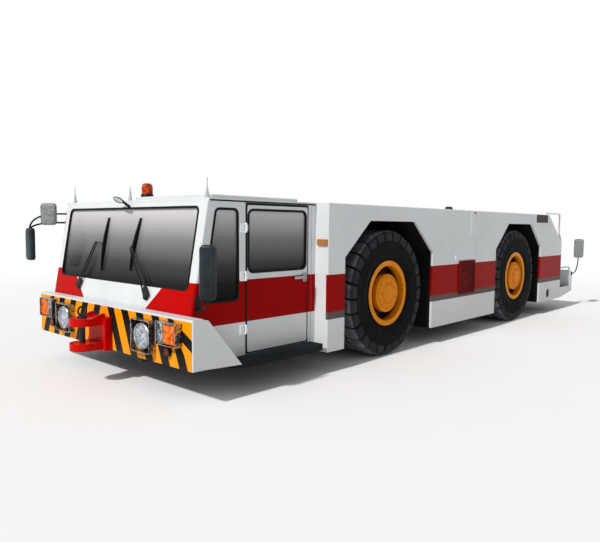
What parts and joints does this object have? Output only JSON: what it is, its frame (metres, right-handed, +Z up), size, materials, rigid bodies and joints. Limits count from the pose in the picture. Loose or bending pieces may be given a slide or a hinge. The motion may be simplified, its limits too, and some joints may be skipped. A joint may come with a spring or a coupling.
{
  "type": "aircraft towing tractor",
  "caption": "Low flat-decked aircraft towing tractor with a full-width cab, lugged wheels in eight-cornered arches, towing jaws at both ends and a rear driving platform.",
  "frame": {"origin": "on the ground under the middle of the tractor's overall box", "axes": "+X forward to the cab, +Y to the vehicle's left, +Z up"},
  "size_m": [9.8499, 3.19, 1.95],
  "materials": {
    "amber_lens": "clear amber moulding",
    "axle_iron": "dark cast iron",
    "black_plastic": "grained black moulding",
    "body_paint": "gloss white enamel with a red band",
    "engine_iron": "grey painted iron",
    "frame_paint": "satin black chassis paint",
    "glass": "clear tinted safety glass",
    "grille_paint": "dark red and black louvres",
    "hitch_paint": "gloss signal red enamel",
    "lamp_chrome": "bright plated reflector",
    "liner_paint": "dull black underseal",
    "pin_steel": "dull turned steel",
    "red_lens": "clear red moulding",
    "rim_paint": "satin orange wheel enamel",
    "seal_rubber": "matt black rubber",
    "seat_fabric": "woven charcoal cloth",
    "tread_paint": "worn black tread plate",
    "tyre": "matt ribbed tyre rubber"
  },
  "bodies": {
    "tractor": {"antennas": "black_plastic", "ballast_boxes": "frame_paint", "beacon": "amber_lens", "body_side_left": "body_paint", "body_side_right": "body_paint", "cab_floor": "frame_paint", "cab_front": "body_paint", "cab_glass": "glass", "cab_roof": "body_paint", "cab_seals": "seal_rubber", "cab_sides": "body_paint", "chassis_frame": "frame_paint", "cross_members": "frame_paint", "dashboard": "black_plastic", "deck_fittings": "pin_steel", "deck_plate": "body_paint", "engine_block": "engine_iron", "front_axle": "axle_iron", "front_bulkhead": "body_paint", "front_bumper": "body_paint", "front_hitch": "hitch_paint", "head_lamps": "lamp_chrome", "mirrors": "black_plastic", "rear_axle": "axle_iron", "rear_bulkhead": "body_paint", "rear_bumper": "body_paint", "rear_hitch": "hitch_paint", "rear_platform": "body_paint", "rear_rails": "body_paint", "seat_cushions": "seat_fabric", "seat_frames": "black_plastic", "side_grilles": "grille_paint", "side_steps": "tread_paint", "steering_wheel": "black_plastic", "tail_lamps": "red_lens", "turn_lamps": "amber_lens", "wheel_liners": "liner_paint", "wipers": "black_plastic"},
    "door_left": {"cab_door_left": "body_paint", "door_glass_left": "glass", "door_seal_left": "seal_rubber"},
    "door_right": {"cab_door_right": "body_paint", "door_glass_right": "glass", "door_seal_right": "seal_rubber"},
    "engine_cover": {"engine_lid": "body_paint"},
    "front_coupling_pin": {"front_pin": "pin_steel"},
    "rear_coupling_pin": {"rear_pin": "pin_steel"},
    "steer_front_left": {"knuckle_front_left": "axle_iron"},
    "wheel_front_left": {"rim_front_left": "rim_paint", "tyre_front_left": "tyre"},
    "steer_front_right": {"knuckle_front_right": "axle_iron"},
    "wheel_front_right": {"rim_front_right": "rim_paint", "tyre_front_right": "tyre"},
    "steer_rear_left": {"knuckle_rear_left": "axle_iron"},
    "wheel_rear_left": {"rim_rear_left": "rim_paint", "tyre_rear_left": "tyre"},
    "steer_rear_right": {"knuckle_rear_right": "axle_iron"},
    "wheel_rear_right": {"rim_rear_right": "rim_paint", "tyre_rear_right": "tyre"}
  },
  "joints": [
    {"name": "door_left_hinge", "type": "hinge", "parent": "tractor", "child": "door_left", "pos_m": [3.844, 1.242, 1], "axis": [0, 0, -1], "range_deg": [0, 75]},
    {"name": "door_right_hinge", "type": "hinge", "parent": "tractor", "child": "door_right", "pos_m": [3.844, -1.352, 1], "axis": [0, 0, 1], "range_deg": [0, 75]},
    {"name": "engine_cover_hinge", "type": "hinge", "parent": "tractor", "child": "engine_cover", "pos_m": [0.615, 0, 1.7703], "axis": [0, 1, 0], "range_deg": [0, 60]},
    {"name": "front_pin_lift", "type": "slide", "parent": "tractor", "child": "front_coupling_pin", "axis": [0, 0, 1], "range_m": [0, 0.24]},
    {"name": "rear_pin_lift", "type": "slide", "parent": "tractor", "child": "rear_coupling_pin", "axis": [0, 0, 1], "range_m": [0, 0.24]},
    {"name": "steer_front_left_kingpin", "type": "hinge", "parent": "tractor", "child": "steer_front_left", "pos_m": [1.675, 0.9, 0.746], "axis": [0, 0, 1], "range_deg": [-22, 22]},
    {"name": "wheel_front_left_spin", "type": "hinge", "parent": "steer_front_left", "child": "wheel_front_left", "pos_m": [1.675, 1.145, 0.746], "axis": [0, 1, 0], "continuous": true},
    {"name": "steer_front_right_kingpin", "type": "hinge", "parent": "tractor", "child": "steer_front_right", "pos_m": [1.675, -0.9, 0.746], "axis": [0, 0, 1], "range_deg": [-22, 22]},
    {"name": "wheel_front_right_spin", "type": "hinge", "parent": "steer_front_right", "child": "wheel_front_right", "pos_m": [1.675, -1.145, 0.746], "axis": [0, 1, 0], "continuous": true},
    {"name": "steer_rear_left_kingpin", "type": "hinge", "parent": "tractor", "child": "steer_rear_left", "pos_m": [-2.025, 0.9, 0.746], "axis": [0, 0, 1], "range_deg": [-22, 22]},
    {"name": "wheel_rear_left_spin", "type": "hinge", "parent": "steer_rear_left", "child": "wheel_rear_left", "pos_m": [-2.025, 1.145, 0.746], "axis": [0, 1, 0], "continuous": true},
    {"name": "steer_rear_right_kingpin", "type": "hinge", "parent": "tractor", "child": "steer_rear_right", "pos_m": [-2.025, -0.9, 0.746], "axis": [0, 0, 1], "range_deg": [-22, 22]},
    {"name": "wheel_rear_right_spin", "type": "hinge", "parent": "steer_rear_right", "child": "wheel_rear_right", "pos_m": [-2.025, -1.145, 0.746], "axis": [0, 1, 0], "continuous": true}
  ],
  "couplings": [
    {"joint": "steer_front_right_kingpin", "follows": "steer_front_left_kingpin", "ratio": 1},
    {"joint": "steer_rear_right_kingpin", "follows": "steer_rear_left_kingpin", "ratio": 1}
  ]
}
